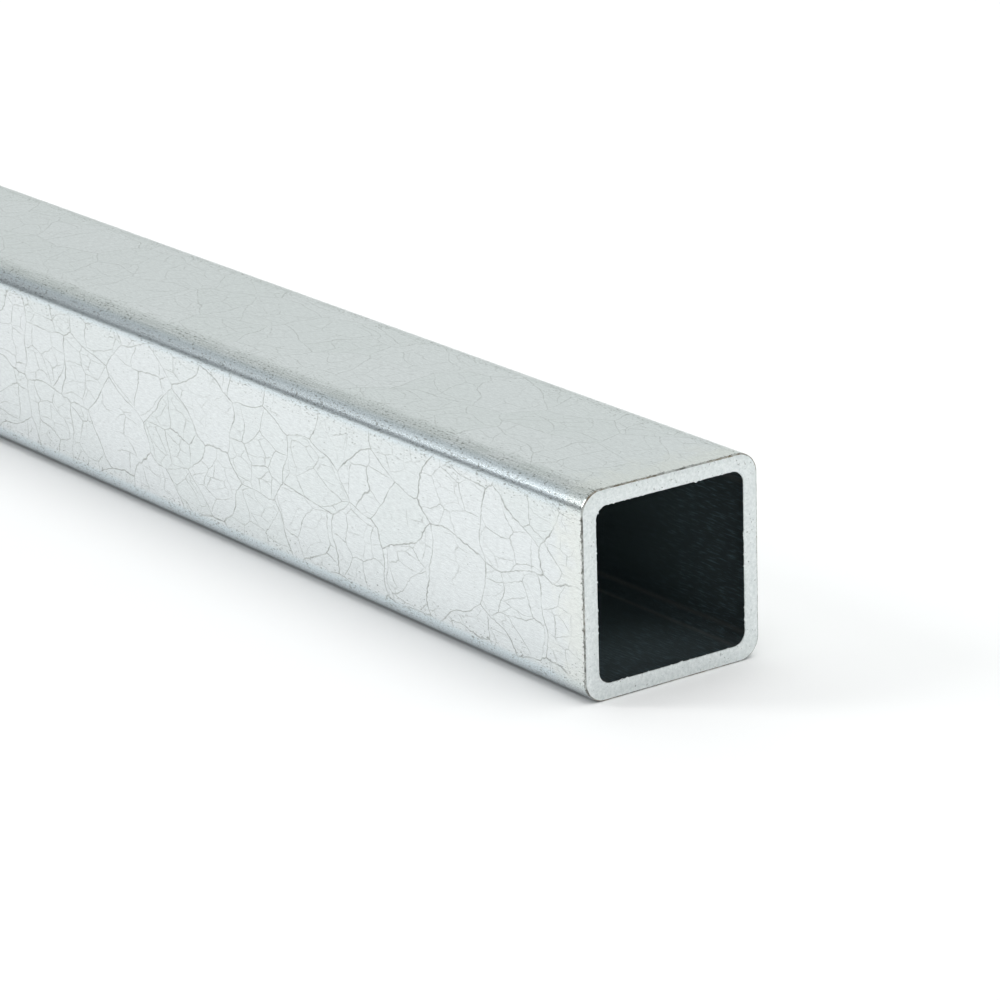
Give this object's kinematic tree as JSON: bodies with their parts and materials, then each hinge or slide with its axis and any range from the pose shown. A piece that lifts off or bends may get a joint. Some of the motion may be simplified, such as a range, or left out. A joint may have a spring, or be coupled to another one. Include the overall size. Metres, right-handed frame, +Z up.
{
  "type": "square metal tube",
  "caption": "Galvanised square steel tube with rounded corners, a clear square bore and square-sawn ends, lying flat; stock for frames and brackets.",
  "frame": {"origin": "centre of the bottom face, half way between the sawn ends, on the surface that the tube lies on", "axes": "+X along the tube towards the end that the picture shows; +Y across; +Z up"},
  "size_m": [1, 0.025, 0.025],
  "materials": {
    "galvanised_steel": "satin zinc coat with fine crackle lines, bare sawn ends, dark bore"
  },
  "bodies": {
    "root": {"square_tube": "galvanised_steel"}
  },
  "joints": []
}
